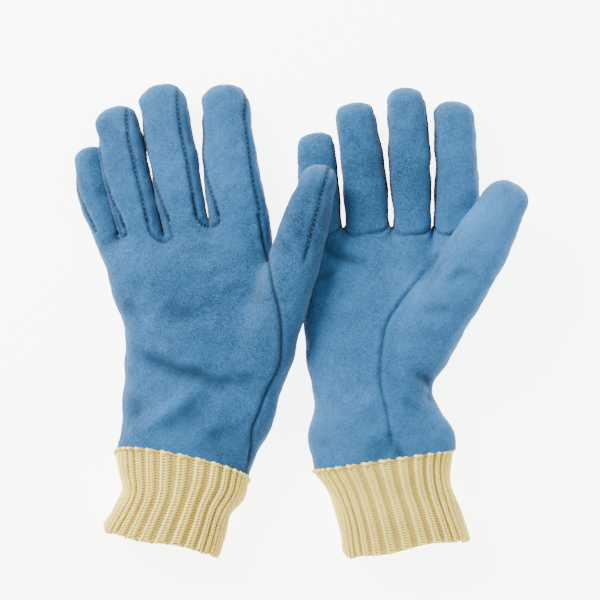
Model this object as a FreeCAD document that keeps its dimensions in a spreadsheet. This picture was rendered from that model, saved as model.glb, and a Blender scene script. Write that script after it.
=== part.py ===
import FreeCAD, Part
import Sketcher
import math
import os

# A pair of insulated cryogenic gloves with knitted wrists, lying side by side on a bench.
# The left glove lies palm down and the right glove palm up, fingers towards +Y, cuffs towards -Y.
# The origin is under the middle of the pair, on the bench. Lengths are in millimetres.

V = FreeCAD.Vector
GLOVES = ("left", "right")
FINGERS = ("index", "middle", "ring", "little")
DIGITS = FINGERS + ("thumb",)
PALM_SIGN = {"left": -1, "right": 1}  # which way the palm faces along Z

# Layer thicknesses, and the play left between one layer and the next.
LAYERS = {
    "leather": 1.4,
    "insulation": 3.4,
    "lining": 0.8,
    "play": 0.15,
    "joint_gap": 0.6,
    "knit_wall": 2.6,
}

# Digits: length from the root to the tip, and outside diameters at the root and at the tip.
DIGIT_SIZES = {
    "index": (95, 29.2, 27.6),
    "middle": (99, 29.2, 27.6),
    "ring": (89, 27.2, 26.2),
    "little": (67, 22.4, 21.6),
    "thumb": (52, 33, 29),
}

# How far round its digit each leather panel reaches, in degrees. The front panel takes what is left.
FULL_TURN = 360
FINGER_BACK_ANGLE = 110
THUMB_BACK_ANGLE = 180
SIDE_ANGLE = 70

# Where each digit's root lies: X, Y, height of its axis, and its lean to the left of +Y in degrees.
DIGIT_PLACES = {
    "left_index": (-39, 60.5, 14.6, 7),
    "left_middle": (-72.5, 57, 14.6, 10),
    "left_ring": (-101, 53.5, 13.6, 13),
    "left_little": (-126.8, 50.5, 11.2, 14),
    "left_thumb": (0, 49.5, 40, -16),
    "right_index": (104.5, 55.6, 14.6, 1),
    "right_middle": (74, 56, 14.6, 3),
    "right_ring": (44.5, 57, 13.6, 6),
    "right_little": (16, 56.2, 11.2, 3),
    "right_thumb": (118.5, 41.5, 40, -28),
}

# Sections of each hand from wrist to knuckles: X, Y, width, thickness, turn about Z in degrees.
HAND_SECTIONS = {
    "left": [
        (-75.5, -97, 90, 40, -12),
        (-66, -45, 99, 42, 0),
        (-71.5, 6, 95, 38, 2),
        (-79.5, 54, 113, 30, 7),
    ],
    "right": [
        (56.5, -94.5, 93, 40, 9),
        (49, -48, 78, 42, 2),
        (50, -7, 88, 40, 0),
        (62.5, 54.5, 112, 30, 0),
    ],
}

# Sections of each knitted cuff from its seam to its mouth: X, Y, width, thickness, turn about Z.
CUFF_SECTIONS = {
    "left": [
        (-76.1, -99.9, 88, 38, -12),
        (-75.5, -110, 82, 36, -12),
        (-84, -126, 78, 34, -13),
        (-90, -146, 77, 32, -14),
    ],
    "right": [
        (57, -97.4, 90, 38, 9),
        (62, -112, 82, 36, 9),
        (66.5, -128, 81, 34, 9),
        (71, -149, 84, 32, 8),
    ],
}

# Thumb roots, the tapering tubes between each hand and its thumb: X, Y, Z and radius at the hand end,
# and the radius where the thumb begins.
THUMB_ROOTS = {
    "left": (-35, -55, 20, 13, 16.5),
    "right": (66, -50, 21, 14.5, 16.8),
}

# The line in plan that divides each hand's panels from its thumb panel: X and Y of one point, and the
# line's lean to the left of +Y in degrees.
THUMB_SEAMS = {
    "left": (-17, 20, -10),
    "right": (80, 10, -16),
}

# The small diamonds between the roots of the fingers, raised from the fingers' axes towards the back.
GUSSETS = {"across": 1.5, "tall": 7, "deep": 7, "raised": 9.5}
SEAM_RADIUS = 1.3  # the overlocked roll where each cuff joins the leather
FAR = 400  # longer than either glove, for the blocks that divide a layer into panels
FIRST_WALL = 1  # the wall that each thimble sketch is drawn with before its constraints set the true one
END_OVERLAP = 8  # how far a thumb root is drawn past its end before it is trimmed

doc = FreeCAD.newDocument("cryogenic_gloves")
sheet = doc.addObject("Spreadsheet::Sheet", "Dims")
parts = []


def put_cell(row, alias, value):
    """One driving dimension: its name in column A, its value in column B."""
    sheet.set(f"A{row}", alias)
    sheet.set(f"B{row}", f"{value}")
    sheet.setAlias(f"B{row}", alias)


def fill_sheet():
    """Every driving dimension as a named cell."""
    cells = [(f"{name}_thick", value) for name, value in LAYERS.items()]
    cells += [(f"gusset_{name}", value) for name, value in GUSSETS.items()]
    cells += [("seam_radius", SEAM_RADIUS), ("far_length", FAR), ("end_overlap", END_OVERLAP)]
    for digit, values in DIGIT_SIZES.items():
        cells += zip((f"{digit}_long", f"{digit}_root_wide", f"{digit}_tip_wide"), values)
    for digit, values in DIGIT_PLACES.items():
        cells += zip((f"{digit}_x_at", f"{digit}_y_at", f"{digit}_z_at", f"{digit}_lean"), values)
    for kind, table in (("hand", HAND_SECTIONS), ("cuff", CUFF_SECTIONS)):
        for glove in GLOVES:
            for k, values in enumerate(table[glove]):
                names = ("x_at", "y_at", "wide", "tall", "turn")
                cells += [(f"{glove}_{kind}_{'abcd'[k]}_{n}", v) for n, v in zip(names, values)]
    for glove in GLOVES:
        names = ("x_at", "y_at", "z_at", "start_radius", "end_radius")
        cells += [(f"{glove}_root_{n}", v) for n, v in zip(names, THUMB_ROOTS[glove])]
        cells += [(f"{glove}_seam_{n}", v) for n, v in zip(("x_at", "y_at", "lean"), THUMB_SEAMS[glove])]
    for row, (alias, value) in enumerate(cells, start=1):
        put_cell(row, alias, value)
    doc.recompute()


def cell(alias):
    return float(sheet.get(alias))


def in_plan(lean):
    """The unit vector in plan that leans to the left of +Y by this many degrees."""
    return V(-math.sin(math.radians(lean)), math.cos(math.radians(lean)), 0)


def frame_along(direction, facing):
    """The rotation that takes local Z to direction and local X to facing."""
    return FreeCAD.Rotation(facing, V(0, 0, 0), direction, "ZXY")


def bind(thing, **expressions):
    """Binds each property of an object to an expression on the sheet."""
    for prop, expression in expressions.items():
        thing.setExpression(prop, expression)
    return thing


def keep(thing, name):
    """Names an object as a sub-part, which gives its file's name."""
    thing.Label = name
    parts.append(thing)
    return thing


def boolean(kind, name, base, tool):
    made = doc.addObject(f"Part::{kind}", name)
    made.Base, made.Tool = base, tool
    return made


# Digits: each panel is a sector of a thimble, a tapering tube closed by a round tip.


def thimble_sketch(body, outer_inset, inner_inset, digit):
    """Half the thimble's wall, from its root on the X axis to its tip on the Z axis. The insets are
    expressions, measured from the leather's outside."""
    sketch = body.newObject("Sketcher::SketchObject", body.Name + "_wall")
    plane = [f for f in body.Origin.OriginFeatures if f.Role == "XZ_Plane"][0]
    sketch.AttachmentSupport = [(plane, "")]
    sketch.MapMode = "FlatFace"
    root = f"Dims.{digit}_root_wide / 2"
    tip = f"Dims.{digit}_tip_wide / 2"
    dome = f"(Dims.{digit}_long - {tip})"
    sizes = {
        "outer_root": f"{root} - ({outer_inset})",
        "inner_root": f"{root} - ({inner_inset})",
        "outer_tip": f"{tip} - ({outer_inset})",
        "inner_tip": f"{tip} - ({inner_inset})",
    }
    long, root_wide, tip_wide = (cell(f"{digit}_{n}") for n in ("long", "root_wide", "tip_wide"))
    centre = long - tip_wide / 2
    radius_a, radius_b = tip_wide / 2, tip_wide / 2 - FIRST_WALL
    corners = [V(root_wide / 2 - FIRST_WALL, 0, 0), V(root_wide / 2, 0, 0), V(radius_a, centre, 0)]
    lines = [
        Part.LineSegment(corners[0], corners[1]),
        Part.LineSegment(corners[1], corners[2]),
        Part.ArcOfCircle(Part.Circle(V(0, centre, 0), V(0, 0, 1), radius_a), 0, math.pi / 2),
        Part.LineSegment(V(0, centre + radius_a, 0), V(0, centre + radius_b, 0)),
        Part.ArcOfCircle(Part.Circle(V(0, centre, 0), V(0, 0, 1), radius_b), 0, math.pi / 2),
        Part.LineSegment(V(radius_b, centre, 0), corners[0]),
    ]
    sketch.addGeometry(lines, False)
    root_line, outer_line, outer_arc, axis_line, inner_arc, inner_line = range(6)
    start, end, middle = 1, 2, 3
    joined = [
        (root_line, end, outer_line, start),
        (outer_line, end, outer_arc, start),
        (outer_arc, end, axis_line, start),
        (axis_line, end, inner_arc, end),
        (inner_arc, start, inner_line, start),
        (inner_line, end, root_line, start),
        (outer_arc, middle, inner_arc, middle),
    ]
    for a, point_a, b, point_b in joined:
        sketch.addConstraint(Sketcher.Constraint("Coincident", a, point_a, b, point_b))
    sketch.addConstraint(Sketcher.Constraint("PointOnObject", root_line, start, -1))
    sketch.addConstraint(Sketcher.Constraint("PointOnObject", root_line, end, -1))
    sketch.addConstraint(Sketcher.Constraint("PointOnObject", outer_arc, middle, -2))
    sketch.addConstraint(Sketcher.Constraint("PointOnObject", axis_line, start, -2))
    sketch.addConstraint(Sketcher.Constraint("PointOnObject", axis_line, end, -2))
    sketch.addConstraint(Sketcher.Constraint("Horizontal", outer_arc, start, outer_arc, middle))
    sketch.addConstraint(Sketcher.Constraint("Horizontal", inner_arc, start, inner_arc, middle))
    named = [
        ("outer_root", Sketcher.Constraint("DistanceX", -1, 1, root_line, end, root_wide / 2)),
        ("inner_root", Sketcher.Constraint("DistanceX", -1, 1, root_line, start, root_wide / 2 - FIRST_WALL)),
        ("outer_tip", Sketcher.Constraint("Radius", outer_arc, radius_a)),
        ("inner_tip", Sketcher.Constraint("Radius", inner_arc, radius_b)),
        ("dome", Sketcher.Constraint("DistanceY", -1, 1, outer_arc, middle, centre)),
    ]
    for name, constraint in named:
        sketch.renameConstraint(sketch.addConstraint(constraint), name)
    for name, expression in sizes.items():
        sketch.setExpression(f"Constraints.{name}", expression)
    sketch.setExpression("Constraints.dome", dome)
    return sketch


def thimble_panel(name, digit, place, facing, angle, outer_inset, inner_inset):
    """One panel of a digit: the thimble's wall turned through an angle about the digit's axis, its
    middle towards facing."""
    body = doc.addObject("PartDesign::Body", name)
    sketch = thimble_sketch(body, outer_inset, inner_inset, digit)
    turn = body.newObject("PartDesign::Revolution", name + "_turn")
    turn.Profile = sketch
    turn.ReferenceAxis = (sketch, ["V_Axis"])
    turn.Angle = angle
    turn.Midplane = angle < FULL_TURN
    body.Tip = turn
    where = V(*(cell(f"{place}_{axis}_at") for axis in "xyz"))
    body.Placement = FreeCAD.Placement(where, frame_along(in_plan(cell(f"{place}_lean")), facing))
    return keep(body, name)


def make_digit(glove, digit):
    """A digit's leather panels and its liner. A side panel, or fourchette, faces each neighbour, and a
    digit's front panel wraps round a side that has no neighbour."""
    place = f"{glove}_{digit}"
    palm = V(0, 0, PALM_SIGN[glove])
    along = in_plan(cell(f"{place}_lean"))
    thumbward = V(along.y, -along.x, 0)  # the thumb lies to the right of both hands
    sides = {
        "index": {"little_side": -1},
        "middle": {"thumb_side": 1, "little_side": -1},
        "ring": {"thumb_side": 1, "little_side": -1},
        "little": {"thumb_side": 1},
        "thumb": {},
    }[digit]
    leather = ("0", "Dims.leather_thick")
    back_angle = THUMB_BACK_ANGLE if digit == "thumb" else FINGER_BACK_ANGLE
    thimble_panel(f"{place}_back", digit, place, palm * -1, back_angle, *leather)
    for side, sign in sides.items():
        thimble_panel(f"{place}_{side}", digit, place, thumbward * sign, SIDE_ANGLE, *leather)
    front_angle = FULL_TURN - back_angle - SIDE_ANGLE * len(sides)
    swing = 0 if len(sides) != 1 else (front_angle - back_angle) / 2
    free_side = thumbward * (-1 if "thumb_side" in sides else 1)
    radians = math.radians(swing)
    front = palm * math.cos(radians) + free_side * math.sin(radians)
    thimble_panel(f"{place}_front", digit, place, front, front_angle, *leather)
    liner_outside = "Dims.leather_thick + Dims.play_thick"
    liner = (liner_outside, f"{liner_outside} + Dims.insulation_thick")
    thimble_panel(f"{place}_liner", digit, place, palm, FULL_TURN, *liner)


# Hands and cuffs: lofts through ellipses that stand across the glove.


def set_across(ring, stem):
    """Stands a ring across the glove at a section's place, touching the bench plane with its section."""
    across = FreeCAD.Rotation(V(0, 0, 1), cell(f"{stem}_turn")).multVec(V(1, 0, 0))
    up = V(0, 0, 1)
    where = V(cell(f"{stem}_x_at"), cell(f"{stem}_y_at"), cell(f"{stem}_tall") / 2)
    ring.Placement = FreeCAD.Placement(where, FreeCAD.Rotation(across, up, across.cross(up), "XYZ"))


def ellipse_loft(glove, kind, name, inset):
    """A solid loft through a hand's or a cuff's sections, each drawn in by an inset expression."""
    sections = []
    for letter in "abcd":
        stem = f"{glove}_{kind}_{letter}"
        ring = doc.addObject("Part::Ellipse", f"{name}_{letter}")
        bind(
            ring,
            MajorRadius=f"Dims.{stem}_wide / 2 - ({inset})",
            MinorRadius=f"Dims.{stem}_tall / 2 - ({inset})",
        )
        set_across(ring, stem)
        sections.append(ring)
    loft = doc.addObject("Part::Loft", name)
    loft.Sections, loft.Solid, loft.Ruled = sections, True, False
    return loft


def block(name, corner, turn):
    """A block far larger than a glove, one corner edge at a point, for dividing a layer in two."""
    box = doc.addObject("Part::Box", name)
    bind(box, Length="Dims.far_length", Width="Dims.far_length", Height="Dims.far_length")
    box.Placement = FreeCAD.Placement(corner, turn)
    return box


def behind_thumb(glove, name):
    """The block on the hand's side of the plane where the thumb begins."""
    stem = f"{glove}_thumb"
    along = in_plan(cell(f"{stem}_lean"))
    across = V(along.y, -along.x, 0)
    root = V(cell(f"{stem}_x_at"), cell(f"{stem}_y_at"), 0) - along * cell("joint_gap_thick")
    half = cell("far_length") / 2
    turn = FreeCAD.Rotation(across, along, V(0, 0, 1), "ZXY")
    return block(name, root - along * cell("far_length") - across * half - V(0, 0, half), turn)


def hand_solid(glove, name, inset):
    """The hand's loft joined to its thumb root, drawn in by an inset expression and trimmed where the
    thumb begins."""
    loft = ellipse_loft(glove, "hand", f"{name}_loft", inset)
    start = V(*(cell(f"{glove}_root_{axis}_at") for axis in "xyz"))
    end = V(*(cell(f"{glove}_thumb_{axis}_at") for axis in "xyz"))
    run = end - start
    cone = doc.addObject("Part::Cone", f"{name}_root")
    bind(
        cone,
        Radius1=f"Dims.{glove}_root_start_radius - ({inset})",
        Radius2=f"Dims.{glove}_root_end_radius - ({inset})",
    )
    cone.Height = run.Length + cell("end_overlap")
    cone.Placement = FreeCAD.Placement(start, FreeCAD.Rotation(V(0, 0, 1), run))
    trimmed = boolean("Common", f"{name}_root_trimmed", cone, behind_thumb(glove, f"{name}_root_block"))
    return boolean("Fuse", name, loft, trimmed)


def make_hand(glove):
    """The hand's leather as back, palm and thumb panels, its insulation as the hand's and the thumb
    root's parts, and its lining."""
    leather = "Dims.leather_thick"
    insulation = f"{leather} + Dims.play_thick"
    insulation_inside = f"{insulation} + Dims.insulation_thick"
    lining = f"{insulation_inside} + Dims.play_thick"
    lining_inside = f"{lining} + Dims.lining_thick"

    def layer(name, outer_inset, inner_inset):
        outer = hand_solid(glove, f"{name}_outer", outer_inset)
        inner = hand_solid(glove, f"{name}_inner", inner_inset)
        return boolean("Cut", name, outer, inner)

    shell = layer(f"{glove}_shell", "0", leather)
    seam = f"{glove}_seam"
    along = in_plan(cell(f"{seam}_lean"))
    thumbward = V(along.y, -along.x, 0)
    on_seam = V(cell(f"{seam}_x_at"), cell(f"{seam}_y_at"), 0)
    half = cell("far_length") / 2
    level = cell(f"{glove}_hand_d_tall") / 2
    beyond = block(
        f"{glove}_thumb_block",
        on_seam - along * half - V(0, 0, half),
        FreeCAD.Rotation(thumbward, along, V(0, 0, 1), "ZXY"),
    )
    above = block(f"{glove}_upper_block", V(-half, -half, level), FreeCAD.Rotation())
    hand_only = boolean("Cut", f"{glove}_hand_shell", shell, beyond)
    upper = boolean("Common", f"{glove}_upper_panel", hand_only, above)
    lower = boolean("Cut", f"{glove}_lower_panel", hand_only, above)
    back, palm = (upper, lower) if PALM_SIGN[glove] < 0 else (lower, upper)
    keep(back, f"{glove}_hand_back")
    keep(palm, f"{glove}_hand_palm")
    keep(boolean("Common", f"{glove}_thumb_panel", shell, beyond), f"{glove}_thumb_root")
    batting = layer(f"{glove}_batting", insulation, insulation_inside)
    keep(boolean("Cut", f"{glove}_hand_batting", batting, beyond), f"{glove}_hand_insulation")
    keep(boolean("Common", f"{glove}_root_batting", batting, beyond), f"{glove}_thumb_root_insulation")
    keep(layer(f"{glove}_lining", lining, lining_inside), f"{glove}_hand_lining")


def make_cuff(glove):
    """The knitted cuff, and the overlocked roll that lies between it and the leather."""
    outer = ellipse_loft(glove, "cuff", f"{glove}_cuff_outer", "0")
    inner = ellipse_loft(glove, "cuff", f"{glove}_cuff_inner", "Dims.knit_wall_thick")
    keep(boolean("Cut", f"{glove}_cuff", outer, inner), f"{glove}_knit_cuff")
    stem = f"{glove}_hand_a"
    spine = doc.addObject("Part::Ellipse", f"{glove}_seam_spine")
    inset = "(Dims.seam_radius + Dims.play_thick)"
    bind(
        spine,
        MajorRadius=f"Dims.{stem}_wide / 2 - {inset}",
        MinorRadius=f"Dims.{stem}_tall / 2 - {inset}",
    )
    set_across(spine, stem)
    spine.Placement.Base -= in_plan(cell(f"{stem}_turn")) * (cell("seam_radius") + cell("play_thick"))
    bead = doc.addObject("Part::Circle", f"{glove}_seam_bead")
    bind(bead, Radius="Dims.seam_radius")
    doc.recompute()
    edge = spine.Shape.Edges[0]
    start = edge.FirstParameter
    facing = FreeCAD.Rotation(V(0, 0, 1), edge.tangentAt(start))
    bead.Placement = FreeCAD.Placement(edge.valueAt(start), facing)
    roll = doc.addObject("Part::Sweep", f"{glove}_seam_sweep")
    roll.Sections, roll.Spine, roll.Solid, roll.Frenet = [bead], (spine, ["Edge1"]), True, False
    keep(roll, f"{glove}_cuff_seam")


def make_gussets(glove):
    """Three small diamonds of leather, one between the roots of each two fingers, as one group."""
    across, tall, deep, raised = (cell(f"gusset_{n}") for n in GUSSETS)
    corners = [V(0, 0, -tall / 2), V(deep / 2, 0, 0), V(0, 0, tall / 2), V(-deep / 2, 0, 0)]
    solids = []
    for pair in zip(FINGERS, FINGERS[1:]):
        facing_sides = []
        for finger, sign in zip(pair, (-1, 1)):
            stem = f"{glove}_{finger}"
            along = in_plan(cell(f"{stem}_lean"))
            root = V(*(cell(f"{stem}_{axis}_at") for axis in "xyz"))
            facing_sides.append(root + V(along.y, -along.x, 0) * sign * cell(f"{finger}_root_wide") / 2)
        along = in_plan(sum(cell(f"{glove}_{finger}_lean") for finger in pair) / 2)
        side = V(along.y, -along.x, 0)
        middle = (facing_sides[0] + facing_sides[1]) / 2 - V(0, 0, PALM_SIGN[glove] * raised)
        nearest = middle + along * deep / 2 - side * across / 2
        outline = [nearest + along * corner.x + V(0, 0, corner.z) for corner in corners]
        solids.append(Part.Face(Part.makePolygon(outline + outline[:1])).extrude(side * across))
    group = doc.addObject("Part::Feature", f"{glove}_gussets")
    group.Shape = Part.makeCompound(solids)
    keep(group, f"{glove}_finger_gussets")


def check_and_write():
    """Stops on any failed feature or poor shape, then writes every sub-part."""
    doc.recompute()
    failed = [o.Name for o in doc.Objects if "Invalid" in o.State or "Error" in o.State]
    poor = [p.Label for p in parts if p.Shape.isNull() or not p.Shape.isValid() or not p.Shape.Solids]
    if failed or poor:
        raise RuntimeError(f"failed features {failed}, poor shapes {poor}")
    os.makedirs("parts", exist_ok=True)
    for part in parts:
        part.Shape.exportStep(os.path.join("parts", part.Label + ".step"))
        print(part.Label, len(part.Shape.Solids), "solids", round(part.Shape.Volume), "mm3")


fill_sheet()
for side_name in GLOVES:
    make_hand(side_name)
    make_cuff(side_name)
    for digit_name in DIGITS:
        make_digit(side_name, digit_name)
    make_gussets(side_name)
check_and_write()
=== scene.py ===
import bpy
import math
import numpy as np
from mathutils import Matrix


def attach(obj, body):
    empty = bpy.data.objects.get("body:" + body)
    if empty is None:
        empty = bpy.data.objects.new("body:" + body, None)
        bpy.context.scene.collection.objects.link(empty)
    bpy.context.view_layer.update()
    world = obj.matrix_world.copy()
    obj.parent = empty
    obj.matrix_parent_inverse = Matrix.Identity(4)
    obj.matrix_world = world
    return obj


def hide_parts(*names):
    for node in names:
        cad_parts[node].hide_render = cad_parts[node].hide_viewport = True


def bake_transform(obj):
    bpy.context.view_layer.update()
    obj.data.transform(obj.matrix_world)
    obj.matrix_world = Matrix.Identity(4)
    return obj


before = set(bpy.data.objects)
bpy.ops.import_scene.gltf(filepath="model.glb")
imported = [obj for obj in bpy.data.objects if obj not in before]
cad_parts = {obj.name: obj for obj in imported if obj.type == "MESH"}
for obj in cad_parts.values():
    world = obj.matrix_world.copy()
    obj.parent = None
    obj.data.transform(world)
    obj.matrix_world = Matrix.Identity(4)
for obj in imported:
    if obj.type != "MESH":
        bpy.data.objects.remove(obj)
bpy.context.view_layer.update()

# A pair of blue suede cryogenic gloves with cream rib-knit wrists. Each glove is a smooth field, a hand
# blended with five digits, that is meshed, parted along its seams and given the leather's thickness.
# The field works in millimetres; meshes are made in metres.

import openvdb
from mathutils import Vector

MM = 0.001
FINGERS = ("index", "middle", "ring", "little")
DIGITS = FINGERS + ("thumb",)
VOXEL = 0.9
LEATHER = 1.3
SEAM_DEPTH = 1.2
SEAM_WIDTH = 1.15
SEAM_RIDGE = 0.3  # how far the leather stands up beside a seam
LEFT_PINCH = 0.3  # how much nearer the middle of its back a left digit's left seam is at the root
FINGER_GAP = 0.25  # between two digits' leather
FINGER_BLEND = 7  # the radius of the fillet where the fingers join the hand
THUMB_BLEND = 11  # and the thumb
FLOOR_BLEND = 3  # and where the glove rests on the bench
CELL_BLEND = 1.6  # and of a digit's edge where it is parted from the next
LOWEST = 0.25  # the field's own floor
FRONT_EDGE = 0.97  # where a digit's front panel ends, as a share of its half-width
TIP_EDGE = 0.6  # and as a share of the length of its rounded tip
CROTCH = 6  # how far the hand's leather reaches up between two digits past their roots
BEND = 24  # how far along a digit its leather bends, past that
PANELS = ("back", "front", "thumb_side", "little_side")
SOFT_VOXEL = 2.2  # for the layers inside the leather
SLEEVE_DEPTH = 2.0  # from the leather's outside to the insulation
BATTING = 3.4
LINING_GAP = 0.2  # between the insulation and the lining
LINING = 0.8
STITCH_SPACING = 2.7
STITCH_LONG = 1.5
STITCH_RADIUS = 0.17
FLOOR_GAP = 0.05
HAND_BOX = {"left": ((-143, -122, -2), (24, 76, 60)), "right": ((-4, -114, -2), (146, 76, 62))}
RIBS = 40
WALES = 2 * RIBS  # one raised and one sunk in each rib
SEGMENTS = 10  # points on each stitch of the knit
COURSE = 1.65  # height of one course of knit
YARN = 0.54
YARN_SIDES = (-0.1, 0.0, 0.2, 0.0)  # painted shade on each side of the yarn, from its outer side round: a little lighter outside, darker on the inner side
RIB_DEPTH = 1.5
RIB_SPREAD = 0.2  # how much wider the raised wales are than the sunk ones
LOOP_BEND = 0.27  # how far the legs of a loop lean, as a share of a wale
LOOP_HEIGHT = 0.72  # half a loop's height, as a share of a course
LOOP_DEPTH = 0.42  # how far a loop's legs stand out
BACKING = 0.6  # thickness of the knit behind the yarn
BACKING_DEPTH = 0.75
LIP = 1.5  # radius of the turn at a cuff's mouth
INSIDE = 5  # how far the yarn runs back up inside a cuff
FAR = 9.0  # farther from a seam than its groove reaches
NARROWEST = 0.0101  # the narrowest cut that a sheet's flat size is worked out with, in metres
FRAME_WIDTH = 0.396  # what the camera sees across, in metres


# Smooth curves and fields.

def curve(points):
    """A smooth function through (position, value) points."""
    points = sorted(points)
    xs = np.array([p[0] for p in points], float)
    ys = np.array([p[1] for p in points], float)
    slopes = np.gradient(ys, xs)

    def value(x):
        x = np.clip(x, xs[0], xs[-1])
        k = np.clip(np.searchsorted(xs, x) - 1, 0, len(xs) - 2)
        width = xs[k + 1] - xs[k]
        u = (x - xs[k]) / width
        rise = u * u * (3 - 2 * u)
        start = u * (1 - u) ** 2 * width * slopes[k]
        end = u * u * (u - 1) * width * slopes[k + 1]
        return ys[k] * (1 - rise) + ys[k + 1] * rise + start + end

    return value


def smooth_min(a, b, k):
    h = np.clip(0.5 + 0.5 * (b - a) / k, 0, 1)
    return b + (a - b) * h - k * h * (1 - h)


def smooth_max(a, b, k):
    return -smooth_min(-a, -b, k)


def smoothstep(x, low, high):
    u = np.clip((x - low) / (high - low), 0, 1)
    return u * u * (3 - 2 * u)


def oval(u, v, a, b, power):
    """The place of (u, v) on a scale where an oval of half-sizes a and b is 1, and how fast that grows."""
    su, sv = np.abs(u) / a, np.abs(v) / b
    rho = np.maximum((su ** power + sv ** power) ** (1 / power), 1e-6)
    gradient = rho ** (1 - power) * np.hypot(su ** (power - 1) / a, sv ** (power - 1) / b)
    return rho, np.maximum(gradient, 1e-4)


def ripple(p, scale, seed):
    """Soft random undulation from -1 to 1 whose bumps are about scale apart."""
    random = np.random.default_rng(seed)
    total = np.zeros(len(p))
    waves = 14
    for _ in range(waves):
        way = random.normal(size=3)
        way *= 2 * math.pi / (scale * random.uniform(0.7, 1.6)) / np.linalg.norm(way)
        total += np.sin(p @ way + random.uniform(0, 2 * math.pi))
    return total / math.sqrt(waves)


class Digit:
    """A tapering, slightly bowed tube with a rounded tip. wide and deep are its half-sizes at the root,
    at the middle and near the tip; lift is how far its axis rises from the hand to the root; cut is how
    far along it its own panels start. edges are where its back panel ends, as shares of its half-width,
    and panels is what lies beyond them, both for its left side and its right."""

    def __init__(self, tip, root, wide, deep, height, cap, bow=0, lift=0, start=-26, heel=12, cut=0.5,
                 edges=(0.93, 0.72), panels=("little_side", "thumb_side"), strip=5, seam_tail=-2):
        self.root = np.array(root, float)
        run = np.array(tip, float) - self.root
        self.long = math.hypot(*run)
        self.along = run / self.long
        self.across = np.array((self.along[1], -self.along[0]))
        middle = self.long * 0.55
        self.wide, self.deep = (
            curve([(-30, first), (0, first), (middle, second), (self.long - cap, third)])
            for first, second, third in (wide, deep))
        self.height, self.cap, self.bow, self.lift = height, cap, bow, lift
        self.start, self.heel, self.cut = start, heel, cut
        self.edges, self.panels, self.seam_tail = edges, panels, seam_tail
        self.strip_end = self.long - strip

    def local(self, p):
        """Along, across and up from the digit's bowed axis."""
        flat = p[:, :2] - self.root
        t = flat @ self.along
        c = flat @ self.across - self.bow * np.sin(math.pi * np.clip(t / self.long, 0, 1))
        height = self.height - self.lift * (1 - smoothstep(t, self.start, 10))
        return t, c, p[:, 2] - height

    def capped(self, t):
        tip = np.clip((t - (self.long - self.cap)) / self.cap, 0, None)
        back = np.clip((self.start + self.heel - t) / self.heel, 0, None)
        return tip, back

    def distance(self, p):
        t, c, z = self.local(p)
        rho, gradient = oval(c, z, self.wide(t), self.deep(t), 2.5)
        tip, back = self.capped(t)
        ends = (tip ** 2.4 + back ** 2.4)
        whole = (rho ** 2.4 + ends) ** (1 / 2.4)
        side = (rho / whole) ** 1.4 * gradient
        end = (tip / whole) ** 1.4 / self.cap + (back / whole) ** 1.4 / self.heel
        return (whole - 1) / np.maximum(np.hypot(side, end), 1e-4)

    def point(self, t, c=0.0, z=0.0):
        """The place at a distance along the digit, across it and up from its axis."""
        bow = self.bow * math.sin(math.pi * min(max(t / self.long, 0), 1))
        flat = self.root + self.along * t + self.across * (c + bow)
        return np.array((flat[0], flat[1], self.height + z))


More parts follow.
